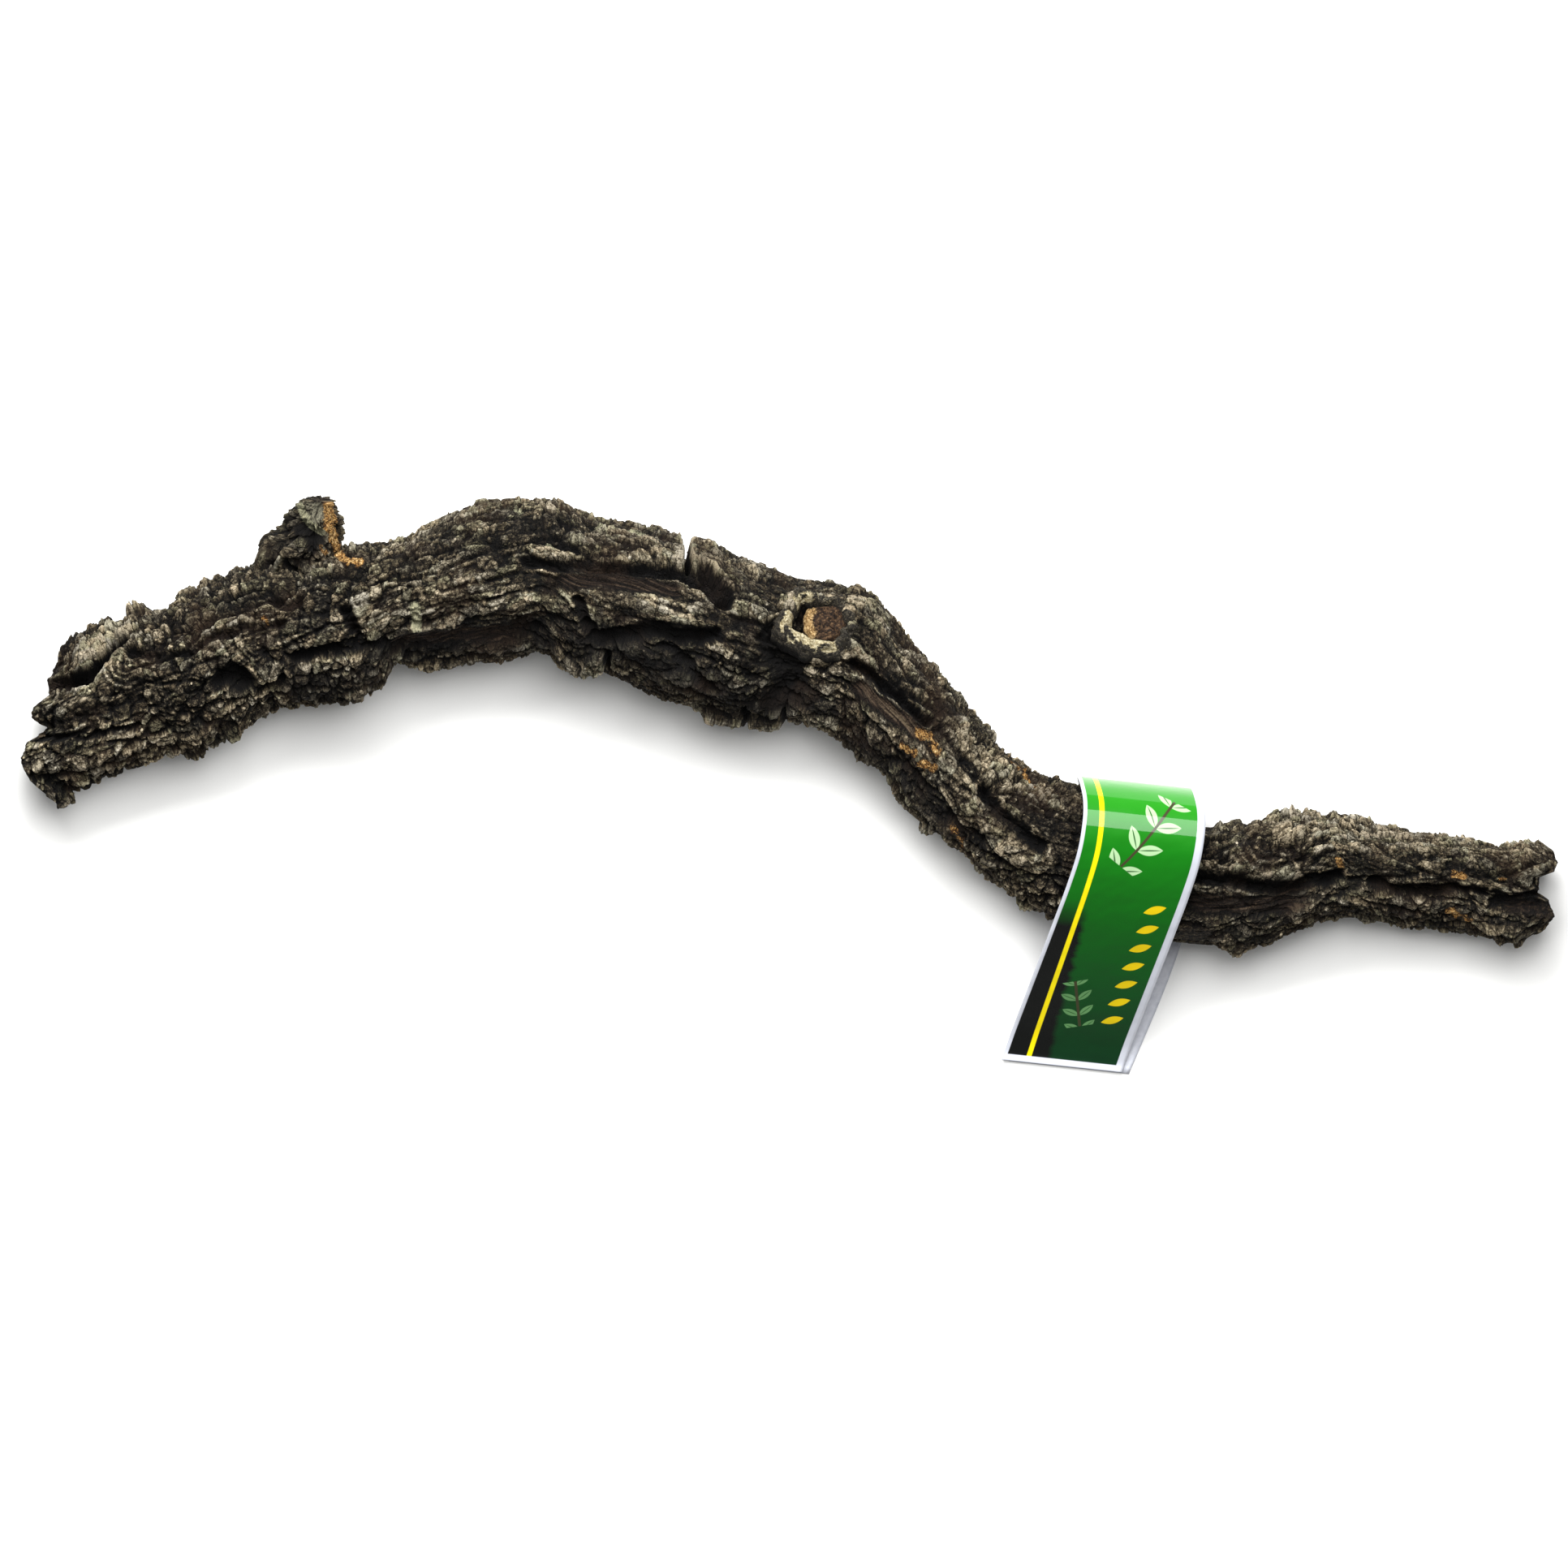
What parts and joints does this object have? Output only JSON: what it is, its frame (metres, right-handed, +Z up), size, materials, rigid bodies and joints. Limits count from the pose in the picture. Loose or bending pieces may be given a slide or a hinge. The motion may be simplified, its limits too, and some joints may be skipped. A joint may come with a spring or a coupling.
{
  "type": "cork oak branch",
  "caption": "Arched dead branch of a cork oak with deeply furrowed bark, a side-shoot stump, a sawn knot and a laminated card strip looped round its thin half.",
  "frame": {"origin": "middle of the outline, on the surface that the branch lies on", "axes": "+X from the thick end to the thin end, +Y towards the outside of the arch, +Z up from the surface"},
  "size_m": [0.6, 0.2266, 0.063],
  "materials": {
    "cork_bark": "rough",
    "laminated_card": "gloss"
  },
  "bodies": {
    "root": {"branch": "cork_bark", "label_strip": "laminated_card"}
  },
  "joints": []
}
